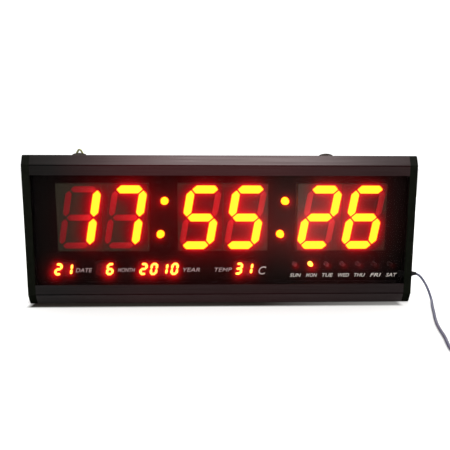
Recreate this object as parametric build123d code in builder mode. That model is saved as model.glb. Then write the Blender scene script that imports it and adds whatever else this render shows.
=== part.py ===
from build123d import *
import math
import os

# LED digital wall clock with calendar, in millimetres.
# +X is to the clock's right as its face is read, +Y points to its back and +Z up.
# The origin is the centre of the case's footprint, on the surface that the clock stands on.

# ---------------------------------------------------------------- driving dimensions
WIDTH = 470.0
HEIGHT = 180.0
DEPTH = 38.0  # over the hanger knuckles behind the case
CAP_LENGTH = 10.0
WALL = 1.8

# rail section: distances are measured in from the rail's outer edge, depths back from the front
BEVEL_HEIGHT = 11.2
BEVEL_DEPTH = 5.0
BAND_HEIGHT = 12.5
PORT_DEPTHS = (12.0, 24.0)
PORT_DROP = 4.4
PORT_RADIUS = 1.35

# hangers
WIRE = 2.4
SHEET = 1.0
SLIDE_GAP = 0.3
PIN_GAP = 0.05
KNUCKLE_RADIUS = WIRE / 2 + PIN_GAP + SHEET
HANGER_STACK = SLIDE_GAP + SHEET + SLIDE_GAP + WIRE / 2 + KNUCKLE_RADIUS
BRACKET_WIDTH = 17.0
BRACKET_RISE = 2.6
BRACKET_SHOULDER = 0.7
RING_AXIS_Z = 173.0
RING_SIDE = 17.7
RING_CORNER = 2.0
LEFT_HANGER_X = -175.0
RIGHT_HANGER_X = 131.0

# stations through the depth, as y
FRONT = -DEPTH / 2
CASE_DEPTH = DEPTH - HANGER_STACK
REAR = FRONT + CASE_DEPTH
WINDOW_FRONT = FRONT + 2.0
WINDOW_BACK = WINDOW_FRONT + 2.0
DIGIT_FACE = FRONT + 5.2
BOARD_FRONT = FRONT + 18.2
BOARD_BACK = BOARD_FRONT + 1.6
COVER_BACK = REAR - WALL - 0.2
COVER_FRONT = COVER_BACK - 2.0

# display layout
FACE_SHIFT = 1.6
DIGIT_Z = 105.7
PAIR_PITCH = 144.5
DIGIT_PITCH = 54.5
SLANT = 10.0
BIG = {"height": 76.2, "width": 41.7, "bar": 8.4, "gap": 2.8, "round": 1.0}
SMALL = {"height": 14.2, "width": 8.2, "bar": 1.9, "gap": 0.5, "round": 0.25}
MODULE_HEIGHT = 82.0
MODULE_GAP = 0.1
SMALL_MODULE_GAP = 0.3
MODULE_DEPTH = 13.0
MODULE_ROUND = 0.5
POCKET = 5.0
SMALL_Z = 41.3
SMALL_PITCH = 12.7
SMALL_HEIGHT = 19.0
SMALL_DEPTH = 8.0
SMALL_POCKET = 2.5
COLON_X = 73.9
COLON_RISE = 20.5
COLON_LEAN = 2.7
COLON_DROP = 1.5  # of the colons' middles below the digits' middles
LAMP_Z = 45.7
LAMP_PITCH = 20.0
LAMP_START = 91.5

# power lead
JACK_Y = BOARD_BACK + 3.4
JACK_Z = 31.0
CORD = 3.0
CORD_RADIUS = CORD / 2
TIE = 0.8
COIL_CENTRE = (242.0, -192.0)
COIL_MID_RADIUS = 18.0
COIL_TURNS_WIDE = 5
COIL_LAYERS = 2

os.makedirs("parts", exist_ok=True)


def save(piece, name):
    """Label a finished piece and write its STEP file."""
    piece.label = name
    export_step(piece, f"parts/{name}.step")


def facing(y):
    """Plane at depth y, looking forward: local x is +X, local y is +Z, extruding goes to -Y."""
    return Plane.XZ.offset(-y)


def across(x):
    """Plane at station x: local x is +Y, local y is +Z, extruding goes to +X."""
    return Plane.YZ.offset(x)


# ---------------------------------------------------------------- rails
RAIL_LENGTH = WIDTH - 2 * CAP_LENGTH
BAND_END = BEVEL_HEIGHT + BAND_HEIGHT
SLOT_TOP = 5.0
SLOT_HEIGHT = 8.0
SLOT_DEPTH = 2.6
MOUTH_HEIGHT = 4.0
WEB = 1.4
RAIL_LIP_END = 18.0
GROOVE = 2.4
LEDGE_START = 18.0
LEDGE_LIP_END = 22.5
BEVEL_INSIDE_DEPTH = BEVEL_DEPTH + 1.2
BEVEL_INSIDE_HEIGHT = BEVEL_HEIGHT + 0.4
LINE_DEPTH = 0.6
LINE_START = BEVEL_HEIGHT + 0.3
LINE_END = LINE_START + 1.0
PORT_WALL = 1.35
PORT_SLIT = 1.0
PORT_SLIT_REACH = 3.5


def slab(edge, inward, depths, drops, mode=Mode.ADD):
    """Rectangle of a rail's section, between two depths and two distances from its outer edge."""
    z_values = [edge + inward * drop for drop in drops]
    with Locations((FRONT + sum(depths) / 2, sum(z_values) / 2)):
        Rectangle(depths[1] - depths[0], abs(z_values[1] - z_values[0]), mode=mode)


def rail(edge, inward):
    """One rail. edge is its outer z, and inward is -1 for the top rail and +1 for the bottom one."""
    slot_mouth = SLOT_TOP + (SLOT_HEIGHT - MOUTH_HEIGHT) / 2
    slot_end = SLOT_TOP + SLOT_HEIGHT
    lip = CASE_DEPTH - WALL
    slot_floor = lip - SLOT_DEPTH
    groove_front = lip - GROOVE
    with BuildPart() as body:
        with BuildSketch(across(-RAIL_LENGTH / 2)):
            skin = [
                (0, BEVEL_HEIGHT),
                (BEVEL_DEPTH, 0),
                (CASE_DEPTH, 0),
                (CASE_DEPTH, WALL),
                (BEVEL_INSIDE_DEPTH, WALL),
                (WALL, BEVEL_INSIDE_HEIGHT),
                (WALL, BAND_END),
                (0, BAND_END),
            ]
            Polygon(*[(FRONT + d, edge + inward * t) for d, t in skin])
            # decorative line between the bevel and the band
            slab(edge, inward, (0, LINE_DEPTH), (LINE_START, LINE_END), Mode.SUBTRACT)
            # front groove for the window
            slab(edge, inward, (0, WALL + GROOVE + WEB), (LEDGE_START, LEDGE_START + WEB))
            slab(edge, inward, (WALL + GROOVE, WALL + GROOVE + WEB), (LEDGE_START, LEDGE_LIP_END))
            # rear lip with the hanger slot's mouth, and the slot's chamber
            slab(edge, inward, (lip, CASE_DEPTH), (0, slot_mouth))
            slab(edge, inward, (lip, CASE_DEPTH), (slot_mouth + MOUTH_HEIGHT, RAIL_LIP_END))
            slab(edge, inward, (slot_floor - WEB, lip), (SLOT_TOP - WEB, SLOT_TOP))
            slab(edge, inward, (slot_floor - WEB, slot_floor), (SLOT_TOP - WEB, slot_end + WEB))
            slab(edge, inward, (slot_floor - WEB, lip), (slot_end, slot_end + WEB))
            # rear groove for the cover
            slab(edge, inward, (groove_front - WEB, groove_front), (slot_end, RAIL_LIP_END))
            # screw ports
            for depth in PORT_DEPTHS:
                with Locations((FRONT + depth, edge + inward * PORT_DROP)):
                    Circle(PORT_RADIUS + PORT_WALL)
                    Circle(PORT_RADIUS, mode=Mode.SUBTRACT)
                slit = (depth - PORT_SLIT / 2, depth + PORT_SLIT / 2)
                slab(edge, inward, slit, (PORT_DROP, PORT_DROP + PORT_SLIT_REACH), Mode.SUBTRACT)
        extrude(amount=RAIL_LENGTH)
    return body.part


save(rail(HEIGHT, -1), "top_rail")
save(rail(0.0, 1), "bottom_rail")


# ---------------------------------------------------------------- end caps and their screws
CAP_OUTLINE = [
    (0, BEVEL_HEIGHT),
    (BEVEL_DEPTH, 0),
    (CASE_DEPTH, 0),
    (CASE_DEPTH, HEIGHT),
    (BEVEL_DEPTH, HEIGHT),
    (0, HEIGHT - BEVEL_HEIGHT),
]
PORTS = [(FRONT + depth, z) for z in (PORT_DROP, HEIGHT - PORT_DROP) for depth in PORT_DEPTHS]
SCREW_HEAD = 2.8
SCREW_HEAD_DEPTH = 1.7
SCREW_SHANK = 1.3
SCREW_LENGTH = 18.0
SCREW_HOLE = 1.6
SCREW_SINK = 0.15
SCREW_SEAT = SCREW_HEAD + 0.2
SCREW_ANGLE = 82
CAP_ROUND = 2.4
BOSS_RADIUS = 3.3
BOSS_LENGTH = CAP_LENGTH - CAP_ROUND
PLUG_HOLE = 3.3


def end_cap(side):
    """Moulded shell that closes one end. side is -1 for the left and +1 for the right."""
    # extruding goes outwards, so local y on this plane is side * Z
    plane = Plane(origin=(side * RAIL_LENGTH / 2, 0, 0), x_dir=(0, 1, 0), z_dir=(side, 0, 0))
    with BuildPart() as cap:
        with BuildSketch(plane):
            Polygon(*[(FRONT + d, side * z) for d, z in CAP_OUTLINE])
        extrude(amount=CAP_LENGTH)
        rims = cap.faces().sort_by(Axis.X)[-1 if side > 0 else 0].edges()
        fillet(rims, CAP_ROUND)
        with BuildSketch(plane):
            Polygon(*[(FRONT + d, side * z) for d, z in CAP_OUTLINE])
            offset(amount=-WALL, kind=Kind.INTERSECTION, mode=Mode.REPLACE)
        extrude(amount=CAP_LENGTH - WALL, mode=Mode.SUBTRACT)
        # screw bosses, merged with the top and bottom walls
        with BuildSketch(plane):
            with Locations(*[(y, side * z) for y, z in PORTS]):
                Circle(BOSS_RADIUS)
            Polygon(*[(FRONT + d, side * z) for d, z in CAP_OUTLINE], mode=Mode.INTERSECT)
        extrude(amount=BOSS_LENGTH)
        for y, z in PORTS:
            with Locations(Plane(origin=(side * WIDTH / 2, y, z), z_dir=(side, 0, 0))):
                CounterSinkHole(SCREW_HOLE, SCREW_SEAT, counter_sink_angle=SCREW_ANGLE)
        if side > 0:
            with Locations(Plane(origin=(WIDTH / 2, JACK_Y, JACK_Z), z_dir=(1, 0, 0))):
                Hole(PLUG_HOLE, depth=2 * WALL)
    return cap.part


save(end_cap(-1), "left_end_cap")
save(end_cap(1), "right_end_cap")


# the drive's cross, as shares of the head's radius and depth
CROSS_SPAN = 1.2
CROSS_WIDTH = 0.24
CROSS_DEPTH = 0.45


def screws(places, direction, head, head_depth, shank, length, countersunk=True):
    """Group of cross-head screws. direction points out of the heads, whose tops are at places."""
    with BuildPart() as group:
        for place in places:
            top = Plane(origin=place, z_dir=direction)
            with BuildSketch(top.offset(-head_depth)):
                Circle(shank if countersunk else head)
            with BuildSketch(top):
                Circle(head)
            loft()
            with BuildSketch(top.offset(-length)):
                Circle(shank)
            extrude(amount=length - head_depth / 2)
            with BuildSketch(top):
                Rectangle(head * CROSS_SPAN, head * CROSS_WIDTH)
                Rectangle(head * CROSS_WIDTH, head * CROSS_SPAN)
            extrude(amount=-head_depth * CROSS_DEPTH, mode=Mode.SUBTRACT)
    return group.part


cap_screws = []
for side in (-1, 1):
    cap_heads = [(side * (WIDTH / 2 - SCREW_SINK), y, z) for y, z in PORTS]
    row = screws(cap_heads, (side, 0, 0), SCREW_HEAD, SCREW_HEAD_DEPTH, SCREW_SHANK, SCREW_LENGTH)
    cap_screws += row.solids()
save(Compound(children=cap_screws), "end_cap_screws")


# ---------------------------------------------------------------- window and rear cover
PANEL_LENGTH = RAIL_LENGTH + 4.0
WINDOW_MARGIN = 20.0
COVER_GAP = 0.6
COVER_MARGIN = SLOT_TOP + SLOT_HEIGHT + WEB + COVER_GAP
HOLE_ROWS = (28.0, 152.5)
HOLE_REACH = 213.0
HOLE_RADIUS = 1.7
BOARD_HOLES = [(x, z) for z in HOLE_ROWS for x in (-HOLE_REACH, FACE_SHIFT, HOLE_REACH)]
BUTTON_XS = {"set_button": -120.0, "up_button": -104.0, "down_button": -88.0}
BUTTON_Z = 92.0
BUTTON_RADIUS = 3.0
BUTTON_GAP = 0.35
BUZZER = (-60.0, 92.0)
SOUND_HOLE = 0.9
SOUND_CIRCLE = 3.6
VENT_CENTRES = ((-150.0, 132.0), (150.0, 132.0))
VENT_PITCH = 7.0
VENT_COUNT = 9
VENT_LENGTH = 22.0
VENT_WIDTH = 2.6

with BuildPart() as front_window:
    with BuildSketch(facing(WINDOW_BACK)):
        with Locations((0, HEIGHT / 2)):
            Rectangle(PANEL_LENGTH, HEIGHT - 2 * WINDOW_MARGIN)
    extrude(amount=WINDOW_BACK - WINDOW_FRONT)
save(front_window.part, "front_window")

with BuildPart() as rear_cover:
    with BuildSketch(facing(COVER_BACK)):
        with Locations((0, HEIGHT / 2)):
            Rectangle(PANEL_LENGTH, HEIGHT - 2 * COVER_MARGIN)
        with Locations(*BOARD_HOLES):
            Circle(HOLE_RADIUS, mode=Mode.SUBTRACT)
        with Locations(*[(x, BUTTON_Z) for x in BUTTON_XS.values()]):
            Circle(BUTTON_RADIUS + BUTTON_GAP, mode=Mode.SUBTRACT)
        # sound holes over the buzzer and cooling slots over the board
        with Locations(BUZZER):
            with PolarLocations(SOUND_CIRCLE, 6):
                Circle(SOUND_HOLE, mode=Mode.SUBTRACT)
        with Locations(*VENT_CENTRES):
            with GridLocations(VENT_PITCH, VENT_PITCH, VENT_COUNT, 1):
                SlotOverall(VENT_LENGTH, VENT_WIDTH, rotation=90, mode=Mode.SUBTRACT)
    extrude(amount=COVER_BACK - COVER_FRONT)
save(rear_cover.part, "rear_cover")


# ---------------------------------------------------------------- board, standoffs and screws
BOARD_HEIGHT = 132.0
BOARD_GAP = 1.0
BOARD_CORNER = 1.5
STANDOFF_RADIUS = 3.1
STANDOFF_BORE = 1.25
PAN_HEAD = 2.7
PAN_HEAD_DEPTH = 1.6
PAN_SHANK = 1.2
PAN_LENGTH = 7.0

with BuildPart() as display_board:
    with BuildSketch(facing(BOARD_BACK)):
        with Locations((0, HEIGHT / 2)):
            RectangleRounded(RAIL_LENGTH - BOARD_GAP, BOARD_HEIGHT, BOARD_CORNER)
        with Locations(*BOARD_HOLES):
            Circle(HOLE_RADIUS, mode=Mode.SUBTRACT)
    extrude(amount=BOARD_BACK - BOARD_FRONT)
save(display_board.part, "display_board")

with BuildPart() as board_standoffs:
    with BuildSketch(facing(COVER_FRONT)):
        with Locations(*BOARD_HOLES):
            RegularPolygon(STANDOFF_RADIUS, 6)
            Circle(STANDOFF_BORE, mode=Mode.SUBTRACT)
    extrude(amount=COVER_FRONT - BOARD_BACK)
save(board_standoffs.part, "board_standoffs")

PAN_SCREW = (PAN_HEAD, PAN_HEAD_DEPTH, PAN_SHANK, PAN_LENGTH)
board_heads = [(x, BOARD_FRONT - PAN_HEAD_DEPTH, z) for x, z in BOARD_HOLES]
save(screws(board_heads, (0, -1, 0), *PAN_SCREW, countersunk=False), "board_screws")
cover_heads = [(x, COVER_BACK + PAN_HEAD_DEPTH, z) for x, z in BOARD_HOLES]
save(screws(cover_heads, (0, 1, 0), *PAN_SCREW, countersunk=False), "cover_screws")


# ---------------------------------------------------------------- seven-segment modules
def segment_outlines(size):
    """The seven slanted hexagonal bars of one digit, as corner points about its centre."""
    half = (size["width"] - size["bar"]) / 2
    rise = (size["height"] - size["bar"]) / 2
    thick = size["bar"] / 2
    slope = math.tan(math.radians(SLANT))
    tip_x = half - size["gap"] / 2
    tip_z = (rise - size["gap"]) / 2
    level = [
        (-tip_x, 0),
        (-tip_x + thick, thick),
        (tip_x - thick, thick),
        (tip_x, 0),
        (tip_x - thick, -thick),
        (-tip_x + thick, -thick),
    ]
    upright = [
        (0, -tip_z),
        (-thick, -tip_z + thick),
        (-thick, tip_z - thick),
        (0, tip_z),
        (thick, tip_z - thick),
        (thick, -tip_z + thick),
    ]
    centres = [(0, rise, level), (0, 0, level), (0, -rise, level)]
    centres += [(side * half, up * rise / 2, upright) for side in (-1, 1) for up in (-1, 1)]
    return [[(cx + x + (cz + z) * slope, cz + z) for x, z in shape] for cx, cz, shape in centres]


def segment_sketch(centres, size):
    """Add every bar of the digits at centres to the sketch, with slightly rounded corners."""
    for cx, cz in centres:
        for outline in segment_outlines(size):
            with BuildSketch(Plane.XY, mode=Mode.PRIVATE) as bar:
                Polygon(*[(cx + x, cz + z) for x, z in outline])
                fillet(bar.vertices(), size["round"])
            add(bar.sketch)


def module(name, centres, size, width, height, face, depth, pocket):
    """A digit module: its moulded housing, and the segments cast into its windows."""
    middle_x = sum(x for x, z in centres) / len(centres)
    middle_z = centres[0][1]
    with BuildPart() as housing:
        with BuildSketch(facing(face + depth)):
            with Locations((middle_x, middle_z)):
                Rectangle(width, height)
        extrude(amount=depth)
        fillet(housing.edges().group_by(Axis.Y)[0], MODULE_ROUND)
        with BuildSketch(facing(face)):
            segment_sketch(centres, size)
        extrude(amount=-pocket, mode=Mode.SUBTRACT)
    save(housing.part, f"{name}_housing")
    with BuildPart() as segments:
        with BuildSketch(facing(face + pocket)):
            segment_sketch(centres, size)
        extrude(amount=pocket)
    save(segments.part, f"{name}_segments")


for pair_index, pair in enumerate(("hour", "minute", "second")):
    pair_x = FACE_SHIFT + (pair_index - 1) * PAIR_PITCH
    for digit, offset_x in (("tens", -DIGIT_PITCH / 2), ("units", DIGIT_PITCH / 2)):
        module(
            f"{pair}_{digit}",
            [(pair_x + offset_x, DIGIT_Z)],
            BIG,
            DIGIT_PITCH - MODULE_GAP,
            MODULE_HEIGHT,
            DIGIT_FACE,
            MODULE_DEPTH,
            POCKET,
        )

SMALL_MODULES = {"date": (-193.2, 2), "month": (-143.1, 2), "year": (-76.8, 4), "temperature": (27.9, 2)}
for small_name, (small_x, count) in SMALL_MODULES.items():
    small_centres = [(small_x + (i - (count - 1) / 2) * SMALL_PITCH, SMALL_Z) for i in range(count)]
    module(
        small_name,
        small_centres,
        SMALL,
        count * SMALL_PITCH - SMALL_MODULE_GAP,
        SMALL_HEIGHT,
        BOARD_FRONT - SMALL_DEPTH,
        SMALL_DEPTH,
        SMALL_POCKET,
    )


# ---------------------------------------------------------------- round lamps
FLANGE_SHARE = 1.17
FLANGE_THICKNESS = 1.0
DOME_SHARE = 0.9
COLON_LAMP = (4.0, 11.0)
WEEKDAY_LAMP = (2.5, 8.6)


def lamps(places, radius, height):
    """Group of round lamps standing on the board, each with a flange and a domed tip."""
    with BuildPart() as group:
        for x, z in places:
            with BuildPart(mode=Mode.PRIVATE) as lamp:
                with BuildSketch(facing(BOARD_FRONT)):
                    with Locations((x, z)):
                        Circle(radius)
                extrude(amount=height)
                fillet(lamp.edges().group_by(Axis.Y)[0], radius * DOME_SHARE)
                with BuildSketch(facing(BOARD_FRONT)):
                    with Locations((x, z)):
                        Circle(radius * FLANGE_SHARE)
                extrude(amount=FLANGE_THICKNESS)
            add(lamp.part)
    return group.part


for name, x in (("hour_minute_colon", -COLON_X), ("minute_second_colon", COLON_X)):
    dots = [(FACE_SHIFT + x + up * COLON_LEAN, DIGIT_Z - COLON_DROP + up * COLON_RISE) for up in (-1, 1)]
    save(lamps(dots, *COLON_LAMP), name)
week = [(LAMP_START + i * LAMP_PITCH, LAMP_Z) for i in range(7)]
save(lamps(week, *WEEKDAY_LAMP), "weekday_lamps")


# ---------------------------------------------------------------- electronics on the board's back
PIN_PITCH = 2.54
CHIP_TOP = 4.0
CHIP_THICKNESS = 3.4
LEG_HEIGHT = 2.4
LEG_OUT = 0.3
LEG = (0.6, 0.8)
CONTROLLER = {"x": 30.0, "z": 60.0, "length": 50.8, "width": 13.7, "pins": 38}
DRIVER = {"z": 118.0, "length": 23.0, "width": 6.6, "pins": 18}
DRIVER_XS = (-90.0, -30.0, 30.0, 90.0)
CRYSTAL = (72.0, 56.0)
CRYSTAL_RADIUS = 1.5
CRYSTAL_LENGTH = 8.0
CAPACITORS = ((150.0, 50.0), (164.0, 50.0))
CAPACITOR_RADIUS = 4.0
BUZZER_RADIUS = 6.0
BUZZER_HOLE = 1.0
BUZZER_HOLE_DEPTH = 4.0
CAN_HEIGHT = 8.5
CAN_ROUND = 0.4


def behind(height):
    """Plane at a height above the board's back, on which extruding goes towards the board."""
    return facing(BOARD_BACK + height)


def chip(x, z, length, width, pins):
    """Chip with two rows of legs that stand on the board."""
    with BuildPart() as body:
        with BuildSketch(behind(CHIP_TOP)):
            with Locations((x, z)):
                Rectangle(length, width)
        extrude(amount=CHIP_THICKNESS)
        with BuildSketch(behind(LEG_HEIGHT)):
            for row in (-1, 1):
                with Locations((x, z + row * (width / 2 + LEG_OUT))):
                    with GridLocations(PIN_PITCH, PIN_PITCH, pins // 2, 1):
                        Rectangle(*LEG)
        extrude(amount=LEG_HEIGHT)
    return body.part


def cans(places, radius):
    """Group of round cans standing on the board's back, each with a rounded top edge."""
    with BuildPart() as group:
        with BuildSketch(behind(CAN_HEIGHT)):
            with Locations(*places):
                Circle(radius)
        extrude(amount=CAN_HEIGHT)
        fillet(group.edges().group_by(Axis.Y)[-1], CAN_ROUND)
    return group.part


save(chip(**CONTROLLER), "microcontroller")
driver_chips = [chip(x, **DRIVER) for x in DRIVER_XS]
save(Compound(children=driver_chips), "driver_chips")
save(cans(CAPACITORS, CAPACITOR_RADIUS), "filter_capacitors")

with BuildPart() as buzzer:
    add(cans((BUZZER,), BUZZER_RADIUS))
    with BuildSketch(behind(CAN_HEIGHT)):
        with Locations(BUZZER):
            Circle(BUZZER_HOLE)
    extrude(amount=BUZZER_HOLE_DEPTH, mode=Mode.SUBTRACT)
save(buzzer.part, "buzzer")

# a small can that lies along the board
with BuildPart() as clock_crystal:
    with BuildSketch(Plane(origin=(CRYSTAL[0], BOARD_BACK + CRYSTAL_RADIUS, CRYSTAL[1]), z_dir=(0, 0, 1))):
        Circle(CRYSTAL_RADIUS)
    extrude(amount=CRYSTAL_LENGTH)
    fillet(clock_crystal.edges().group_by(Axis.Z)[-1], CAN_ROUND)
save(clock_crystal.part, "clock_crystal")

CELL = (-20.0, 62.0)
CELL_RADIUS = 10.0
CELL_THICKNESS = 3.2
CELL_GAP = 0.15
HOLDER_HEIGHT = 4.6
HOLDER_FLOOR = 1.2
HOLDER_RIM = 1.6
HOLDER_TAB = (29.0, 7.0)
with BuildPart() as battery_holder:
    with BuildSketch(behind(HOLDER_HEIGHT)):
        with Locations(CELL):
            Circle(CELL_RADIUS + HOLDER_RIM)
            Rectangle(*HOLDER_TAB)
    extrude(amount=HOLDER_HEIGHT)
    with BuildSketch(behind(HOLDER_HEIGHT)):
        with Locations(CELL):
            Circle(CELL_RADIUS + CELL_GAP)
    extrude(amount=HOLDER_HEIGHT - HOLDER_FLOOR, mode=Mode.SUBTRACT)
save(battery_holder.part, "battery_holder")

cell_top = HOLDER_FLOOR + 0.1 + CELL_THICKNESS
with BuildPart() as backup_battery:
    with BuildSketch(behind(cell_top)):
        with Locations(CELL):
            Circle(CELL_RADIUS)
    extrude(amount=CELL_THICKNESS)
    fillet(backup_battery.edges().group_by(Axis.Y)[-1], CAN_ROUND)
save(backup_battery.part, "backup_battery")

# temperature sensor: a round body with a flat face, on three legs
SENSOR_X = 195.0
SENSOR_Z = 40.0
SENSOR_RISE = 4.0
SENSOR_RADIUS = 2.4
SENSOR_LENGTH = 4.6
SENSOR_FLAT = (6.0, 4.0)
SENSOR_FLAT_AT = -3.0
SENSOR_LEG = 0.45
with BuildPart() as temperature_sensor:
    with BuildSketch(Plane.XY.offset(SENSOR_Z)):
        with Locations((SENSOR_X, BOARD_BACK + SENSOR_RISE)):
            Circle(SENSOR_RADIUS)
            with Locations((0, SENSOR_FLAT_AT)):
                Rectangle(*SENSOR_FLAT, mode=Mode.SUBTRACT)
    extrude(amount=SENSOR_LENGTH)
    with BuildSketch(behind(SENSOR_RISE)):
        with Locations((SENSOR_X, SENSOR_Z + SENSOR_LENGTH / 2)):
            with GridLocations(PIN_PITCH / 2, PIN_PITCH, 3, 1):
                Rectangle(SENSOR_LEG, SENSOR_LEG)
    extrude(amount=SENSOR_RISE)
save(temperature_sensor.part, "temperature_sensor")

# power jack: a box behind the right cap's wall, with a round nose in the cap's hole
JACK_END = WIDTH / 2 - WALL
JACK_LENGTH = 14.0
JACK_BOX = (6.6, 7.4)
JACK_CORNER = 0.4
JACK_GAP = 0.1
JACK_NOSE = 3.0
JACK_NOSE_SINK = 0.4
JACK_BORE = 1.85
JACK_BORE_DEPTH = 10.0
with BuildPart() as dc_jack:
    with BuildSketch(across(JACK_END - JACK_LENGTH)):
        with Locations((JACK_Y, JACK_Z)):
            RectangleRounded(*JACK_BOX, JACK_CORNER)
    extrude(amount=JACK_LENGTH - JACK_GAP)
    with BuildSketch(across(JACK_END - JACK_GAP)):
        with Locations((JACK_Y, JACK_Z)):
            Circle(JACK_NOSE)
    extrude(amount=WALL + JACK_GAP - JACK_NOSE_SINK)
    with Locations(Plane(origin=(WIDTH / 2 - JACK_NOSE_SINK, JACK_Y, JACK_Z), z_dir=(1, 0, 0))):
        Hole(JACK_BORE, depth=JACK_BORE_DEPTH)
save(dc_jack.part, "dc_jack")


# ---------------------------------------------------------------- rear buttons and their switches
BUTTON_TRAVEL = 0.5
BUTTON_PROUD = 1.2
BUTTON_ROUND = 0.6
BUTTON_FLANGE = 1.2
STEM_RADIUS = 1.7
STEM_SINK = 0.6
SWITCH_SIZE = 6.0
SWITCH_CORNER = 0.5
SWITCH_HEIGHT = 3.5
SWITCH_POCKET_RADIUS = 2.1
SWITCH_POCKET = STEM_SINK + BUTTON_TRAVEL + 0.4
BUTTON_PLACES = [(x, BUTTON_Z) for x in BUTTON_XS.values()]
with BuildPart() as tactile_switches:
    with BuildSketch(behind(SWITCH_HEIGHT)):
        with Locations(*BUTTON_PLACES):
            RectangleRounded(SWITCH_SIZE, SWITCH_SIZE, SWITCH_CORNER)
    extrude(amount=SWITCH_HEIGHT)
    with BuildSketch(behind(SWITCH_HEIGHT)):
        with Locations(*BUTTON_PLACES):
            Circle(SWITCH_POCKET_RADIUS)
    extrude(amount=SWITCH_POCKET, mode=Mode.SUBTRACT)
save(tactile_switches.part, "tactile_switches")

BUTTON_TOP = COVER_BACK + BUTTON_PROUD
FLANGE_TOP = COVER_FRONT - 0.3
STEM_END = BOARD_BACK + SWITCH_HEIGHT - STEM_SINK
for name, x in BUTTON_XS.items():
    with BuildPart() as button:
        with BuildSketch(facing(BUTTON_TOP)):
            with Locations((x, BUTTON_Z)):
                Circle(BUTTON_RADIUS)
        extrude(amount=BUTTON_TOP - FLANGE_TOP + BUTTON_FLANGE / 2)
        fillet(button.edges().group_by(Axis.Y)[-1], BUTTON_ROUND)
        with BuildSketch(facing(FLANGE_TOP)):
            with Locations((x, BUTTON_Z)):
                Circle(BUTTON_RADIUS + BUTTON_FLANGE)
        extrude(amount=BUTTON_FLANGE)
        with BuildSketch(facing(FLANGE_TOP)):
            with Locations((x, BUTTON_Z)):
                Circle(STEM_RADIUS)
        extrude(amount=FLANGE_TOP - STEM_END)
    save(button.part, name)


# ---------------------------------------------------------------- hangers
PLATE_FRONT = REAR + SLIDE_GAP
PLATE_BACK = PLATE_FRONT + SHEET
RING_Y = PLATE_BACK + SLIDE_GAP + WIRE / 2
SLOT_Z = HEIGHT - SLOT_TOP - SLOT_HEIGHT / 2
PLATE_BOTTOM = 164.5
PLATE_CORNER = 1.6
KNUCKLE_WIDTH = 6.0
WIRE_BUTT_GAP = 0.3


def hanger_bracket(x):
    """Stamped bracket: a tongue in the rail's slot, a plate over it and a rolled knuckle."""
    shoulder = HEIGHT + BRACKET_SHOULDER
    with BuildPart() as bracket:
        # tongue head inside the slot, then its neck through the slot's mouth
        with BuildSketch(facing(REAR - WALL - SLIDE_GAP)):
            with Locations((x, SLOT_Z)):
                Rectangle(BRACKET_WIDTH, SLOT_HEIGHT - 2 * SLIDE_GAP)
        extrude(amount=SLOT_DEPTH - 2 * SLIDE_GAP)
        with BuildSketch(facing(PLATE_BACK)):
            with Locations((x, SLOT_Z)):
                Rectangle(BRACKET_WIDTH, MOUTH_HEIGHT - 2 * SLIDE_GAP)
        extrude(amount=PLATE_BACK - REAR + WALL + SLIDE_GAP)
        # plate with an arched top edge
        with BuildSketch(facing(PLATE_BACK)) as plate:
            left, right = x - BRACKET_WIDTH / 2, x + BRACKET_WIDTH / 2
            with BuildLine():
                Polyline((left, shoulder), (left, PLATE_BOTTOM), (right, PLATE_BOTTOM), (right, shoulder))
                ThreePointArc((right, shoulder), (x, HEIGHT + BRACKET_RISE), (left, shoulder))
            make_face()
            fillet(plate.vertices(), PLATE_CORNER)
        extrude(amount=SHEET)
        with BuildSketch(across(x - KNUCKLE_WIDTH / 2)):
            with Locations((RING_Y, RING_AXIS_Z)):
                Circle(KNUCKLE_RADIUS)
            with Locations(((PLATE_BACK + RING_Y) / 2, RING_AXIS_Z)):
                Rectangle(RING_Y - PLATE_BACK, 2 * KNUCKLE_RADIUS)
            with Locations((RING_Y, RING_AXIS_Z)):
                Circle(WIRE / 2 + PIN_GAP, mode=Mode.SUBTRACT)
        extrude(amount=KNUCKLE_WIDTH)
    return bracket.part


def hanger_ring(x, up):
    """Triangular wire ring whose ends meet inside the knuckle. up is +1 when it points upwards."""
    apex = RING_AXIS_Z + up * RING_SIDE * math.sin(math.radians(60))
    path_points = [
        (x + WIRE_BUTT_GAP / 2, RING_Y, RING_AXIS_Z),
        (x + RING_SIDE / 2, RING_Y, RING_AXIS_Z),
        (x, RING_Y, apex),
        (x - RING_SIDE / 2, RING_Y, RING_AXIS_Z),
        (x - WIRE_BUTT_GAP / 2, RING_Y, RING_AXIS_Z),
    ]
    with BuildPart() as ring:
        with BuildLine() as wire_path:
            FilletPolyline(*path_points, radius=RING_CORNER)
        with BuildSketch(Plane(origin=path_points[0], z_dir=(1, 0, 0))):
            Circle(WIRE / 2)
        sweep(path=wire_path.wires()[0])
    return ring.part


save(hanger_bracket(LEFT_HANGER_X), "left_hanger_bracket")
save(hanger_ring(LEFT_HANGER_X, 1), "left_hanger_ring")
save(hanger_bracket(RIGHT_HANGER_X), "right_hanger_bracket")
save(hanger_ring(RIGHT_HANGER_X, -1), "right_hanger_ring")


# ---------------------------------------------------------------- plug of the power lead
PLUG_FACE = WIDTH / 2 + 0.3
PLUG_LENGTH = 9.0
PLUG_RADIUS = 3.6
PLUG_EDGE = 0.4
CORD_START = 247.0
BOOT_END = 249.6
BOOT_ROOT = 3.0
BOOT_TIP = 1.9
BARREL_LENGTH = 9.2
BARREL_RADIUS = 1.75
BARREL_EDGE = 0.3


def turned(origin, direction, outline):
    """Solid of revolution about the line through origin along direction, from (along, radius)."""
    axis_plane = Plane(origin=origin, x_dir=direction, z_dir=(0, 1, 0) if direction[1] == 0 else (1, 0, 0))
    with BuildPart() as solid:
        with BuildSketch(axis_plane):
            Polygon(*outline)
        revolve(axis=Axis(origin, direction))
    return solid.part


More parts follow.
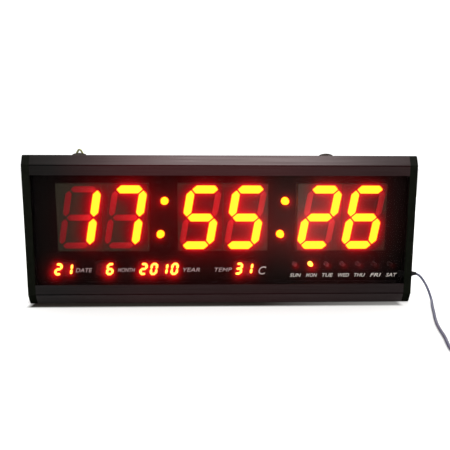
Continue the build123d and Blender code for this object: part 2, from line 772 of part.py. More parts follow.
barrel_outline = [
    (-BARREL_LENGTH, 0),
    (-BARREL_LENGTH, BARREL_RADIUS - BARREL_EDGE),
    (-BARREL_LENGTH + BARREL_EDGE, BARREL_RADIUS),
    (0, BARREL_RADIUS),
    (0, 0),
]
save(turned((PLUG_FACE, JACK_Y, JACK_Z), (1, 0, 0), barrel_outline), "dc_plug_barrel")

# the body, then a soft boot that tapers round the start of the cord
boot_end = BOOT_END - PLUG_FACE
plug_outline = [
    (0, 0),
    (0, PLUG_RADIUS - PLUG_EDGE),
    (PLUG_EDGE, PLUG_RADIUS),
    (PLUG_LENGTH - PLUG_EDGE, PLUG_RADIUS),
    (PLUG_LENGTH, BOOT_ROOT),
    (boot_end, BOOT_TIP),
    (boot_end, 0),
]
save(turned((PLUG_FACE, JACK_Y, JACK_Z), (1, 0, 0), plug_outline), "dc_plug_body")


# ---------------------------------------------------------------- lead: visible run, coil and tail
ARC_SHARE = 0.45


def cord_tube(name, points):
    """Round tube along straight runs joined by the largest tangent arcs that fit."""
    corners = [Vector(*point) for point in points]
    runs = [b - a for a, b in zip(corners, corners[1:])]
    radii = []
    for before, after in zip(runs, runs[1:]):
        turn = math.radians(before.get_angle(after))
        radii.append(ARC_SHARE * min(before.length, after.length) / math.tan(turn / 2))
    with BuildPart() as tube:
        with BuildLine() as route:
            FilletPolyline(*points, radius=radii)
        with BuildSketch(Plane(origin=points[0], z_dir=runs[0])):
            Circle(CORD_RADIUS)
        sweep(path=route.wires()[0])
    length = route.wires()[0].length
    print(name, "radii", [round(radius, 1) for radius in radii])
    print(name, "runs", [round(run.length, 1) for run in runs], "length", round(length, 1))
    share = tube.part.volume / (math.pi * CORD_RADIUS**2 * length)
    print(name, "volume over section times length", round(share, 4))
    save(tube.part, name)


COIL_BASE = TIE
COIL_CORNER = 1.4
TIE_ANGLE = math.radians(70)
TIE_SWEEP = 16
COIL_HALF_WIDTH = COIL_TURNS_WIDE * CORD / 2
COIL_HEIGHT = COIL_LAYERS * CORD
OUTER_TURN = COIL_MID_RADIUS + COIL_HALF_WIDTH - CORD_RADIUS
LOWER_TURN_Z = COIL_BASE + CORD_RADIUS
UPPER_TURN_Z = COIL_BASE + COIL_HEIGHT - CORD_RADIUS
coil_x, coil_y = COIL_CENTRE
TAIL_ANGLE = math.radians(-60)
ADAPTER_X = 280.0
ADAPTER_FRONT = -158.0
TAIL_END = ADAPTER_FRONT - 14.0
TAIL_Z = 7.0

CORD_ROUTE = [
    (CORD_START, JACK_Y, JACK_Z),
    (249.6, 4.2, 30.6),
    (254.2, 4.2, 28.6),
    (260.1, 4.3, 21.6),
    (262.6, -3.0, 13.8),
    (263.1, -10.0, 6.6),
    (261.0, -20.5, 1.5),
    (253.5, -37.5, 1.5),
    (244.5, -61.5, 1.5),
    (235.0, -85.0, 1.5),
    (226.5, -111.0, 1.5),
    (220.5, -138.0, 1.5),
    (212.5, -161.0, 1.5),
    (209.5, -181.0, 1.5),
    (214.0, -200.0, 1.7),
    (226.0, -213.0, 2.1),
    (coil_x, coil_y - OUTER_TURN, LOWER_TURN_Z),
]
cord_tube("dc_cord", CORD_ROUTE)

TAIL_ROUTE = [
    (coil_x + OUTER_TURN * math.cos(TAIL_ANGLE), coil_y + OUTER_TURN * math.sin(TAIL_ANGLE), UPPER_TURN_Z),
    (267.0, -205.0, 4.6),
    (277.0, -194.0, 4.2),
    (280.5, -182.0, 6.0),
    (ADAPTER_X, TAIL_END, TAIL_Z),
]
cord_tube("dc_cord_tail", TAIL_ROUTE)


def coil_section(angle, grow):
    """Section of the coil's bundle, grown all round by grow, on the vertical plane at an angle."""
    along = (math.cos(angle), math.sin(angle), 0)
    return (
        Plane(origin=(coil_x, coil_y, 0), x_dir=along, z_dir=(math.sin(angle), -math.cos(angle), 0)),
        2 * (COIL_HALF_WIDTH + grow),
        COIL_HEIGHT + 2 * grow,
    )


COIL_AXIS = Axis((coil_x, coil_y, 0), (0, 0, 1))
COIL_PLACE = (COIL_MID_RADIUS, COIL_BASE + COIL_HEIGHT / 2)
coil_plane, coil_width, coil_height = coil_section(0.0, 0.0)
with BuildPart() as dc_cord_coil:
    with BuildSketch(coil_plane):
        with Locations(COIL_PLACE):
            RectangleRounded(coil_width, coil_height, COIL_CORNER)
    revolve(axis=COIL_AXIS)
save(dc_cord_coil.part, "dc_cord_coil")

tie_plane, tie_width, tie_height = coil_section(TIE_ANGLE, TIE)
with BuildPart() as cord_tie:
    with BuildSketch(tie_plane):
        with Locations(COIL_PLACE):
            RectangleRounded(tie_width, tie_height, COIL_CORNER + TIE)
            RectangleRounded(coil_width, coil_height, COIL_CORNER, mode=Mode.SUBTRACT)
    revolve(axis=COIL_AXIS, revolution_arc=TIE_SWEEP)
save(cord_tie.part, "cord_tie")


# ---------------------------------------------------------------- wall adapter
ADAPTER_WIDTH = 40.0
ADAPTER_LENGTH = 62.0
ADAPTER_HEIGHT = 24.0
ADAPTER_CORNER = 5.0
ADAPTER_TOP_ROUND = 2.0
ADAPTER_BASE_ROUND = 1.2
PRONG_PITCH = 12.7
PRONG_WIDTH = 6.3
PRONG_SHEET = 1.5
PRONG_LENGTH = 16.0
PRONG_ROOT = 3.0
PRONG_HOLE = 1.5
PRONG_HOLE_Z = ADAPTER_HEIGHT + 12.0
PRONG_EDGE = 0.4
PRONG_INSET = 15.0
PRONG_Y = ADAPTER_FRONT + ADAPTER_LENGTH - PRONG_INSET
PRONGS = [(ADAPTER_X + side * PRONG_PITCH / 2, PRONG_Y) for side in (-1, 1)]

with BuildPart() as adapter_case:
    with BuildSketch(Plane.XY):
        with Locations((ADAPTER_X, ADAPTER_FRONT + ADAPTER_LENGTH / 2)):
            RectangleRounded(ADAPTER_WIDTH, ADAPTER_LENGTH, ADAPTER_CORNER)
    extrude(amount=ADAPTER_HEIGHT)
    fillet(adapter_case.edges().group_by(Axis.Z)[-1], ADAPTER_TOP_ROUND)
    fillet(adapter_case.edges().group_by(Axis.Z)[0], ADAPTER_BASE_ROUND)
    with BuildSketch(Plane.XY.offset(ADAPTER_HEIGHT - PRONG_ROOT)):
        with Locations(*PRONGS):
            Rectangle(PRONG_SHEET, PRONG_WIDTH)
    extrude(amount=PRONG_ROOT, mode=Mode.SUBTRACT)
save(adapter_case.part, "adapter_case")

with BuildPart() as adapter_prongs:
    with BuildSketch(Plane.XY.offset(ADAPTER_HEIGHT - PRONG_ROOT)):
        with Locations(*PRONGS):
            Rectangle(PRONG_SHEET, PRONG_WIDTH)
    extrude(amount=PRONG_ROOT + PRONG_LENGTH)
    chamfer(adapter_prongs.edges().group_by(Axis.Z)[-1], PRONG_EDGE)
    for x, y in PRONGS:
        with Locations(Plane(origin=(x + PRONG_SHEET, y, PRONG_HOLE_Z), z_dir=(1, 0, 0))):
            Hole(PRONG_HOLE, depth=3 * PRONG_SHEET)
save(adapter_prongs.part, "adapter_prongs")

# strain relief: a cone with three grooves round it
RELIEF_ROOT = 3.8
RELIEF_TIP = 1.8
GROOVE_START = 2.4
GROOVE_PITCH = 3.6
GROOVE_WIDTH = 1.0
GROOVE_DEPTH = 0.5
relief_length = ADAPTER_FRONT - TAIL_END
relief_outline = [(0, 0), (0, RELIEF_TIP)]
for groove_index in range(3):
    start = GROOVE_START + groove_index * GROOVE_PITCH
    end = start + GROOVE_WIDTH
    radius = RELIEF_TIP + (RELIEF_ROOT - RELIEF_TIP) * (start + end) / 2 / relief_length
    relief_outline += [(start, radius), (start, radius - GROOVE_DEPTH)]
    relief_outline += [(end, radius - GROOVE_DEPTH), (end, radius)]
relief_outline += [(relief_length, RELIEF_ROOT), (relief_length, 0)]
save(turned((ADAPTER_X, TAIL_END, TAIL_Z), (0, 1, 0), relief_outline), "adapter_strain_relief")
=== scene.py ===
import math

import bmesh
import bpy
import numpy as np
from mathutils import Matrix, Vector


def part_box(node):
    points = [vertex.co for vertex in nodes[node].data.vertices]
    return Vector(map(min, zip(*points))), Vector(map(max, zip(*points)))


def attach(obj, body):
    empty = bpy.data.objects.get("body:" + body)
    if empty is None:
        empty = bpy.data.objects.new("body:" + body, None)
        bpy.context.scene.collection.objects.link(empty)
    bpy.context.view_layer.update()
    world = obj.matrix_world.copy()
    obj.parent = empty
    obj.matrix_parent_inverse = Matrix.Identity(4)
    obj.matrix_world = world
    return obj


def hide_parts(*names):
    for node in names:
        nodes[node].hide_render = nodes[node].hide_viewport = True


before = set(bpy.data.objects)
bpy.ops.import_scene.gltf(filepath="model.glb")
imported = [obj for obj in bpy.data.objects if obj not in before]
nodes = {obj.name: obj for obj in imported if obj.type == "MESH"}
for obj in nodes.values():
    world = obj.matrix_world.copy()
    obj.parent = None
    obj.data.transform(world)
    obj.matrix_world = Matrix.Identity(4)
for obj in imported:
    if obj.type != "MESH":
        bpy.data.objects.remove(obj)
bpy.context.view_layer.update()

# LED wall clock. The frame is +X to the clock's right, +Y to its back and +Z up.
# Lengths are written in millimetres and turned into metres by MM.
MM = 0.001
scene = bpy.context.scene
scene.view_settings.view_transform = "Standard"

# ---------------------------------------------------------------- camera
EYE = Vector((-12.9, -589.9, 180.7)) * MM
YAW, PITCH, ROLL = (math.radians(angle) for angle in (1.69, 8.30, 0.18))


def add_camera():
    forward = Vector((math.sin(YAW) * math.cos(PITCH), math.cos(YAW) * math.cos(PITCH), -math.sin(PITCH)))
    level = forward.cross(Vector((0, 0, 1))).normalized()
    right = math.cos(ROLL) * level + math.sin(ROLL) * level.cross(forward)
    data = bpy.data.cameras.new("camera")
    data.lens, data.sensor_width = 38.5, 36.0
    eye = bpy.data.objects.new("camera", data)
    turn = Matrix((right, right.cross(forward), -forward)).transposed()
    eye.matrix_world = Matrix.Translation(EYE) @ turn.to_4x4()
    scene.collection.objects.link(eye)
    scene.camera = eye


add_camera()

# ---------------------------------------------------------------- power lead
CORD_DIAMETER = 3.0
EXIT = (247.0, 4.2, 31.0)
COIL_X, COIL_Y = 242.0, -192.0
TURN_STEP = 15
LEAD_ROUTE = [
    EXIT,
    (249.6, 4.2, 30.6),
    (254.2, 4.2, 28.6),
    (260.1, 4.3, 21.6),
    (262.6, -3.0, 13.8),
    (263.1, -10.0, 6.6),
    (261.0, -20.5, 1.5),
    (253.5, -37.5, 1.5),
    (244.5, -61.5, 1.5),
    (235.0, -85.0, 1.5),
    (226.5, -111.0, 1.5),
    (220.5, -138.0, 1.5),
    (212.5, -161.0, 1.5),
    (209.5, -181.0, 1.5),
    (213.5, -198.5, 1.6),
]
TAIL_ROUTE = [
    (267.0, -205.0, 4.6),
    (277.0, -194.0, 4.2),
    (280.5, -182.0, 6.0),
    (280.0, -172.0, 7.0),
]
# angle, radius and height along the coil: five turns inwards, a climb, then five outwards.
# Each turn is round for 300 degrees and moves over by a diameter in the other 60.
SHIFTS = [(turn, step) for turn in range(4) for step in (0, 1)]
COIL = [(205, 27, 1.9), (255, 24, 2.3)]
COIL += [(570 + 360 * k + 60 * step, 24 - 3 * (k + step), 2.3) for k, step in SHIFTS]
COIL += [(2010, 12, 2.3), (2070, 9, 5.3), (2100, 9, 5.3), (2160, 12, 5.3)]
COIL += [(2460 + 360 * k + 60 * step, 12 + 3 * (k + step), 5.3) for k, step in SHIFTS]
COIL += [(3900, 24, 5.3)]


def coil_points():
    """Control points round the coil. The spline passes inside its points, so they stand out a little."""
    angles = np.arange(COIL[0][0] + TURN_STEP, COIL[-1][0] + 1, TURN_STEP)
    known, radii, heights = zip(*COIL)
    reach = np.interp(angles, known, radii) / math.cos(math.radians(TURN_STEP / 2))
    turn = np.radians(angles)
    xs, ys = COIL_X + reach * np.cos(turn), COIL_Y + reach * np.sin(turn)
    return list(zip(xs, ys, np.interp(angles, known, heights)))


def cord_piece(name, points, diameter):
    data = bpy.data.curves.new(name, "CURVE")
    data.dimensions = "3D"
    spline = data.splines.new("NURBS")
    spline.points.add(len(points) - 1)
    for point, place in zip(spline.points, points):
        point.co = (*(value * MM for value in place), 1.0)
    spline.order_u = 3
    spline.use_endpoint_u = True
    spline.resolution_u = 6
    data.bevel_depth = diameter / 2 * MM
    data.bevel_resolution = 4
    data.use_fill_caps = True
    piece = bpy.data.objects.new(name, data)
    scene.collection.objects.link(piece)
    return piece


lead = cord_piece("power_lead", LEAD_ROUTE + coil_points() + TAIL_ROUTE, CORD_DIAMETER)
lead.data.materials.append(bpy.data.materials["cord_sleeve"])
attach(lead, "case")
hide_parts("dc_cord", "dc_cord_coil", "dc_cord_tail")


# ---------------------------------------------------------------- materials
NOISE_DETAIL = 4.0


class Paint:
    """A material's node tree, built up from small procedural layers in object space."""

    def __init__(self, name, color, roughness, metallic=0.0, specular=0.5):
        self.material = bpy.data.materials.get(name) or bpy.data.materials.new(name)
        self.material.use_nodes = True
        self.tree = self.material.node_tree
        self.tree.nodes.clear()
        output = self.tree.nodes.new("ShaderNodeOutputMaterial")
        self.shader = self.tree.nodes.new("ShaderNodeBsdfPrincipled")
        self.tree.links.new(self.shader.outputs["BSDF"], output.inputs["Surface"])
        self.place = self.tree.nodes.new("ShaderNodeTexCoord").outputs["Object"]
        self.color, self.roughness = color, roughness
        self.set("Base Color", (*color, 1.0))
        self.set("Roughness", roughness)
        self.set("Metallic", metallic)
        self.set("Specular IOR Level", specular)
        self.height = None

    def set(self, socket, value):
        self.shader.inputs[socket].default_value = value

    def link(self, source, target):
        self.tree.links.new(source, target)

    def math(self, operation, *values):
        node = self.tree.nodes.new("ShaderNodeMath")
        node.operation = operation
        for socket, value in zip(node.inputs, values):
            if isinstance(value, (int, float)):
                socket.default_value = value
            else:
                self.link(value, socket)
        return node.outputs[0]

    def scaled(self, stretch):
        """Object coordinates, stretched: a number below 1 draws a pattern out along that axis."""
        node = self.tree.nodes.new("ShaderNodeMapping")
        node.inputs["Scale"].default_value = stretch
        self.link(self.place, node.inputs["Vector"])
        return node.outputs["Vector"]

    def noise(self, size, stretch=(1, 1, 1)):
        """Noise from 0 to 1 whose features are about size millimetres across."""
        node = self.tree.nodes.new("ShaderNodeTexNoise")
        node.inputs["Scale"].default_value = 1.0 / (size * MM)
        node.inputs["Detail"].default_value = NOISE_DETAIL
        self.link(self.scaled(stretch), node.inputs["Vector"])
        return node.outputs["Fac"]

    def span(self, value, low, high, start=0.3, end=0.7):
        node = self.tree.nodes.new("ShaderNodeMapRange")
        self.link(value, node.inputs["Value"])
        limits = (("From Min", start), ("From Max", end), ("To Min", low), ("To Max", high))
        for socket, number in limits:
            node.inputs[socket].default_value = number
        return node.outputs["Result"]

    def mix(self, factor, first, second):
        node = self.tree.nodes.new("ShaderNodeMix")
        node.data_type = "RGBA"
        self.link(factor, node.inputs["Factor"])
        for index, value in ((6, first), (7, second)):
            if isinstance(value, tuple):
                node.inputs[index].default_value = (*value, 1.0)
            else:
                self.link(value, node.inputs[index])
        return node.outputs[2]

    def tone(self, size, low, high, stretch=(1, 1, 1), color=None):
        """Vary the colour between low and high times its own, in patches of about size millimetres."""
        base = color or self.color
        factor = self.span(self.noise(size, stretch), 0.0, 1.0)
        dark = tuple(channel * low for channel in base)
        light = tuple(channel * high for channel in base)
        mixed = self.mix(factor, dark, light)
        self.link(mixed, self.shader.inputs["Base Color"])
        return mixed

    def rough(self, size, spread, stretch=(1, 1, 1)):
        low, high = self.roughness - spread, self.roughness + spread
        self.link(self.span(self.noise(size, stretch), low, high), self.shader.inputs["Roughness"])

    def bump(self, size, depth, stretch=(1, 1, 1)):
        """Add relief of about depth millimetres with features of about size millimetres."""
        node = self.tree.nodes.new("ShaderNodeBump")
        node.inputs["Distance"].default_value = depth * MM
        self.link(self.noise(size, stretch), node.inputs["Height"])
        if self.height is not None:
            self.link(self.height, node.inputs["Normal"])
        self.height = node.outputs["Normal"]
        self.link(self.height, self.shader.inputs["Normal"])

    def attribute(self, name, output="Fac"):
        node = self.tree.nodes.new("ShaderNodeAttribute")
        node.attribute_name = name
        return node.outputs[output]

    def axis(self, index):
        node = self.tree.nodes.new("ShaderNodeSeparateXYZ")
        self.link(self.place, node.inputs["Vector"])
        return node.outputs[index]

    def glow(self, color, strength):
        self.set("Emission Color", (*color, 1.0))
        if isinstance(strength, (int, float)):
            self.set("Emission Strength", strength)
        else:
            self.link(strength, self.shader.inputs["Emission Strength"])
        self.material.cycles.emission_sampling = "NONE"

    def glow_from(self, name):
        """Emit the colour that the points' attribute of that name holds."""
        self.link(self.attribute(name, "Color"), self.shader.inputs["Emission Color"])
        self.set("Emission Strength", 1.0)
        self.material.cycles.emission_sampling = "NONE"


HOUSING = (0.033, 0.032, 0.016)
DEEP_RED = (0.020, 0.002, 0.002)
ALONG = (0.02, 1, 1)  # patterns drawn out along the rails

METAL = (0.056, 0.050, 0.050)
METAL_LOW_LIT = (0.120, 0.108, 0.108)  # painted light: the lower bevel made paler, as if lit by the pale floor it faces
METAL_LEFT_SHADE = (0.022, 0.020, 0.018)  # painted shade: the top rail's left end is darker
GROOVE = (0.010, 0.009, 0.009)
GROOVE_HEIGHTS = (0.012, 0.168)  # the shaded grooves beside the two bevels
GROOVE_REACH = 0.0006
metal = Paint("anodised_aluminium", METAL, 0.36, metallic=0.8)
# painted light: below about 11 mm the rails take the paler lower-bevel colour
lower = metal.tone(1.2, 0.85, 1.15, ALONG, METAL_LOW_LIT)
upper = metal.tone(1.2, 0.85, 1.15, ALONG)
toned = metal.mix(metal.span(metal.axis(2), 0.0, 1.0, 0.0105, 0.0115), lower, upper)
# painted shade: the top rail darkens towards its left end
to_the_right = metal.span(metal.axis(0), 0.0, 1.0, -0.25, -0.13)
downwards = metal.span(metal.axis(2), 1.0, 0.0, 0.03, 0.15)
dimmed = metal.mix(metal.math("MAXIMUM", to_the_right, downwards), METAL_LEFT_SHADE, toned)
grooves = [metal.math("COMPARE", metal.axis(2), height, GROOVE_REACH) for height in GROOVE_HEIGHTS]
# the rails' colour with the painted shade of the left end and the grooves
finish_and_shade = metal.mix(metal.math("MAXIMUM", *grooves), dimmed, GROOVE)
metal.link(finish_and_shade, metal.shader.inputs["Base Color"])
metal.rough(2.5, 0.05, ALONG)
metal.bump(0.35, 0.012, ALONG)
metal.bump(0.5, 0.004)
# the digits' red glare on the rails' fronts: strongest about the middle, and on the top rail
from_left = metal.span(metal.axis(0), 0.0, 1.0, -0.20, -0.10)
to_right = metal.span(metal.axis(0), 1.0, 0.3, 0.05, 0.20)
by_height = metal.span(metal.axis(2), 0.30, 1.0, 0.02, 0.16)
at_front = metal.span(metal.axis(1), 1.0, 0.0, -0.0135, -0.0105)
glare = metal.math("MULTIPLY", from_left, to_right)
glare = metal.math("MULTIPLY", glare, metal.math("MULTIPLY", by_height, at_front))
metal.glow((1.0, 0.05, 0.08), metal.math("MULTIPLY", glare, 0.036))

shell = Paint("cap_plastic", (0.0035, 0.0045, 0.0020), 0.42, specular=0.14)
shell.tone(6.0, 0.8, 1.25)
shell.rough(3.0, 0.06)
shell.bump(0.45, 0.02)

sheet = Paint("cover_plastic", (0.014, 0.014, 0.015), 0.5)
sheet.tone(8.0, 0.8, 1.2)
sheet.rough(4.0, 0.08)
sheet.bump(0.6, 0.06)

steel = Paint("screw_steel", (0.42, 0.41, 0.38), 0.32, metallic=1.0)
steel.tone(0.8, 0.75, 1.1)
steel.rough(0.5, 0.1)
steel.bump(0.2, 0.01)

dark_steel = Paint("blackened_steel", (0.012, 0.011, 0.010), 0.5, metallic=0.6)
dark_steel.tone(0.8, 0.75, 1.1)
dark_steel.rough(0.5, 0.1)
dark_steel.bump(0.2, 0.01)
nodes["board_screws"].data.materials[0] = dark_steel.material

brass = Paint("standoff_brass", (0.55, 0.38, 0.14), 0.3, metallic=1.0)
brass.tone(1.0, 0.8, 1.1)
brass.rough(0.6, 0.08)

board = Paint("circuit_board", (0.004, 0.003, 0.002), 0.4, specular=0.15)
board.tone(2.0, 0.6, 1.5, (1, 1, 0.15))
board.rough(3.0, 0.08)
board.bump(0.8, 0.02, (1, 1, 0.15))

housing = Paint("module_housing", HOUSING, 0.55, specular=0.3)
housing.tone(5.0, 0.85, 1.15)
housing.rough(2.0, 0.08)
housing.bump(0.4, 0.015)

chip = Paint("chip_plastic", (0.018, 0.018, 0.019), 0.5)
chip.tone(0.6, 0.7, 1.3)
chip.bump(0.15, 0.02)
can = Paint("crystal_can", (0.5, 0.5, 0.49), 0.25, metallic=1.0)
can.tone(0.8, 0.85, 1.1)
can.rough(0.5, 0.08)
sleeve = Paint("capacitor_sleeve", (0.012, 0.016, 0.05), 0.3)
sleeve.tone(2.0, 0.8, 1.3)
sleeve.rough(1.0, 0.06)
holder = Paint("holder_plastic", (0.015, 0.015, 0.016), 0.45)
holder.tone(1.5, 0.8, 1.25)
holder.bump(0.3, 0.02)
cell = Paint("cell_steel", (0.55, 0.54, 0.51), 0.28, metallic=1.0)
cell.tone(1.0, 0.85, 1.08)
cell.rough(0.4, 0.1)
button = Paint("button_plastic", (0.022, 0.022, 0.023), 0.38)
button.tone(1.2, 0.8, 1.3)
button.rough(0.8, 0.08)
button.bump(0.3, 0.02)

bracket = Paint("bracket_paint", (0.060, 0.048, 0.040), 0.40)
bracket.tone(1.5, 0.7, 1.4)
bracket.rough(0.8, 0.1)
bracket.bump(0.4, 0.03)

ring = Paint("ring_zinc", (0.48, 0.49, 0.22), 0.35, metallic=0.7)
ring.tone(1.0, 0.7, 1.2)
ring.rough(0.5, 0.12)
ring.bump(0.3, 0.015)

contact = Paint("plug_metal", (0.62, 0.61, 0.58), 0.2, metallic=1.0)
contact.tone(0.9, 0.88, 1.08)
contact.rough(0.5, 0.07)

boot = Paint("plug_sleeve", (0.012, 0.012, 0.013), 0.45)
boot.tone(1.5, 0.75, 1.3)
boot.rough(1.0, 0.08)
boot.bump(0.35, 0.03)

cord = Paint("cord_sleeve", (0.095, 0.095, 0.150), 0.42)
cord.tone(2.5, 0.85, 1.15)
cord.rough(1.2, 0.06)
cord.bump(0.25, 0.02)

tie = Paint("tie_plastic", (0.012, 0.012, 0.013), 0.4)
tie.tone(0.8, 0.8, 1.25)
tie.bump(0.25, 0.02)

adapter = Paint("adapter_plastic", (0.014, 0.014, 0.015), 0.42)
adapter.tone(5.0, 0.8, 1.25)
adapter.rough(2.5, 0.07)
adapter.bump(0.5, 0.05)

LIT = (1.0, 0.125, 0.001)
LIT_SMALL = (1.0, 0.20, 0.018)
LIT_STRENGTH = 20.0
RED = (1.0, 0.003, 0.010)

lit = Paint("segment_lit", (0.30, 0.02, 0.02), 0.4)
lit.tone(1.0, 0.9, 1.1)
lit.glow(LIT, LIT_STRENGTH)

UNLIT = (0.15, 0.003, 0.004)

unlit = Paint("segment_unlit", UNLIT, 0.45)
unlit.tone(2.0, 0.85, 1.15)
unlit.rough(1.5, 0.06)

legend = Paint("legend_ink", (0.33, 0.215, 0.215), 0.5)
worn = legend.tone(0.4, 0.8, 1.1)
lighter = legend.tone(0.4, 0.8, 1.1, color=(0.52, 0.47, 0.43))
to_days = legend.span(legend.axis(0), 0.0, 1.0, 0.03, 0.08)
legend.link(legend.mix(to_days, worn, lighter), legend.shader.inputs["Base Color"])
legend.bump(0.2, 0.01)

window = Paint("tinted_window", (0.004, 0.003, 0.003), 0.12, specular=0.25)
window.tone(40.0, 0.9, 1.1)
window.rough(30.0, 0.02)
WINDOW_ALPHA = 0.34
SEEN = (1.0 - WINDOW_ALPHA) ** 2  # of what is behind the window, through its two faces
PANE = WINDOW_ALPHA * (1.0 - WINDOW_ALPHA)  # of what the window's back face emits
window.set("Alpha", WINDOW_ALPHA)

# ---------------------------------------------------------------- digits
FRONT = -19.0
DIGIT_FACE = FRONT + 5.2
SMALL_FACE = -8.8
FACE_SHIFT = 1.6
DIGIT_Z = 105.7
PAIR_PITCH, DIGIT_PITCH = 144.5, 54.5
SLANT = math.tan(math.radians(10.0))
# dark and bright are taken off the long sides of unlit and lit bars, grid is the film's step,
# and low_glow is the unlit bars' least glow
BIG = {"height": 76.2, "width": 41.7, "bar": 8.4, "gap": 2.8, "round": 1.0, "deep": 5.0}
BIG |= {"dark": 0.6, "bright": -0.55, "grid": 0.6, "low_glow": 0.075}
SMALL = {"height": 14.2, "width": 8.2, "bar": 1.9, "gap": 0.5, "round": 0.25, "deep": 2.5}
SMALL |= {"dark": 0.2, "bright": -0.52, "grid": 0.45, "low_glow": 0.02}
SMALL_Z, SMALL_PITCH = 41.3, 12.7
BIG_MODULE = (54.4, 82.0)  # width and height of a face
SMALL_MODULE_HEIGHT = 19.0
FILM_MARGIN = 0.5
# bars: 0 top, 1 middle, 2 bottom, 3 lower left, 4 upper left, 5 lower right, 6 upper right
SHAPES = {
    " ": (),
    "0": (0, 2, 3, 4, 5, 6),
    "1": (5, 6),
    "2": (0, 1, 2, 3, 6),
    "3": (0, 1, 2, 5, 6),
    "5": (0, 1, 2, 4, 5),
    "6": (0, 1, 2, 3, 4, 5),
    "7": (0, 5, 6),
}


def bar_outlines(size, thinner=0.0):
    """The seven slanted hexagonal bars of one digit, as corner points about its centre.

    thinner is taken off each long side, and shortens the bars at their ends too."""
    half = (size["width"] - size["bar"]) / 2
    rise = (size["height"] - size["bar"]) / 2
    thick = size["bar"] / 2 - thinner
    tip_x = half - size["gap"] / 2 - thinner / 2
    tip_z = (rise - size["gap"] - thinner) / 2
    level = [(-tip_x, 0), (-tip_x + thick, -thick), (tip_x - thick, -thick)]
    level += [(tip_x, 0), (tip_x - thick, thick), (-tip_x + thick, thick)]
    upright = [(0, -tip_z), (thick, -tip_z + thick), (thick, tip_z - thick)]
    upright += [(0, tip_z), (-thick, tip_z - thick), (-thick, -tip_z + thick)]
    centres = [(0, rise, level), (0, 0, level), (0, -rise, level)]
    centres += [(side * half, up * rise / 2, upright) for side in (-1, 1) for up in (-1, 1)]
    return [[(cx + x + (cz + z) * SLANT, cz + z) for x, z in shape] for cx, cz, shape in centres]


def rounded(corners, radius, steps=3):
    """The outline with each corner replaced by a short arc-like run of points."""
    points = []
    for index, corner in enumerate(corners):
        corner = Vector(corner)
        before = (Vector(corners[index - 1]) - corner).normalized() * radius
        after = (Vector(corners[(index + 1) % len(corners)]) - corner).normalized() * radius
        for step in range(steps + 1):
            t = step / steps
            points.append(corner + before * (1 - t) ** 2 + after * t**2)
    return points


def shrunk(points, inset):
    """The outline moved inwards by inset, along each point's own normal."""
    moved = []
    for index, point in enumerate(points):
        along = (points[(index + 1) % len(points)] - points[index - 1]).normalized()
        moved.append(point + Vector((-along.y, along.x)) * inset)
    return moved


# ---------------------------------------------------------------- light spread by the lit bars
MAP_STEP = 0.5
MAP_X, MAP_Z = (-240.0, 240.0), (10.0, 170.0)
map_width = int((MAP_X[1] - MAP_X[0]) / MAP_STEP)
map_height = int((MAP_Z[1] - MAP_Z[0]) / MAP_STEP)
grid_x, grid_z = np.meshgrid(
    MAP_X[0] + (np.arange(map_width) + 0.5) * MAP_STEP,
    MAP_Z[0] + (np.arange(map_height) + 0.5) * MAP_STEP,
)
big_light = np.zeros((map_height, map_width))
small_light = np.zeros((map_height, map_width))


def shine(light, outline, amount):
    """Mark the map's cells inside a convex outline as lit."""
    inside = np.ones(light.shape, bool)
    for index, (x, z) in enumerate(outline):
        next_x, next_z = outline[(index + 1) % len(outline)]
        inside &= (next_x - x) * (grid_z - z) - (next_z - z) * (grid_x - x) >= 0
    light[inside] = amount


def spread(light, sigma):
    """Gaussian blur of a map, sigma in millimetres."""
    across = np.fft.rfftfreq(light.shape[1], MAP_STEP)
    up = np.fft.fftfreq(light.shape[0], MAP_STEP)[:, None]
    fade = np.exp(-2 * (math.pi * sigma) ** 2 * (across**2 + up**2))
    return np.fft.irfft2(np.fft.rfft2(light) * fade, light.shape)


def read(light, x, z):
    """Values of a map at points, which are arrays in millimetres."""
    column = np.clip((x - MAP_X[0]) / MAP_STEP - 0.5, 0, map_width - 1.001)
    row = np.clip((z - MAP_Z[0]) / MAP_STEP - 0.5, 0, map_height - 1.001)
    left, low = column.astype(int), row.astype(int)
    across, up = column - left, row - low
    bottom = light[low, left] * (1 - across) + light[low, left + 1] * across
    top = light[low + 1, left] * (1 - across) + light[low + 1, left + 1] * across
    return bottom * (1 - up) + top * up


MODULES = []
TIME = "175526"
for index, character in enumerate(TIME):
    pair, digit = divmod(index, 2)
    x = FACE_SHIFT + (pair - 1) * PAIR_PITCH + (digit - 0.5) * DIGIT_PITCH
    name = ("hour", "minute", "second")[pair] + ("_tens", "_units")[digit]
    MODULES.append((name, BIG, [(x, DIGIT_Z, character)], DIGIT_FACE, BIG_MODULE))
SMALL_MODULES = (
    ("date", -193.2, "21"),
    ("month", -143.1, " 6"),
    ("year", -76.8, "2010"),
    ("temperature", 27.9, "31"),
)
for name, x, text in SMALL_MODULES:
    places = [(x + (i - (len(text) - 1) / 2) * SMALL_PITCH, SMALL_Z, c) for i, c in enumerate(text)]
    MODULES.append((name, SMALL, places, SMALL_FACE, (len(text) * SMALL_PITCH - 0.3, SMALL_MODULE_HEIGHT)))

COLON_X, COLON_DROP, COLON_RISE, COLON_LEAN = 73.9, 1.5, 20.5, 2.7
COLON_RADIUS = 3.8
COLON_DOTS = [
    (FACE_SHIFT + side * COLON_X + up * COLON_LEAN, DIGIT_Z - COLON_DROP + up * COLON_RISE)
    for side in (-1, 1)
    for up in (-1, 1)
]
LAMP_Z = 45.7
LAMPS = [91.5 + 20.0 * i for i in range(7)]
LIT_LAMP = 1
LAMP_RADIUS, DULL_RADIUS = 2.2, 3.0

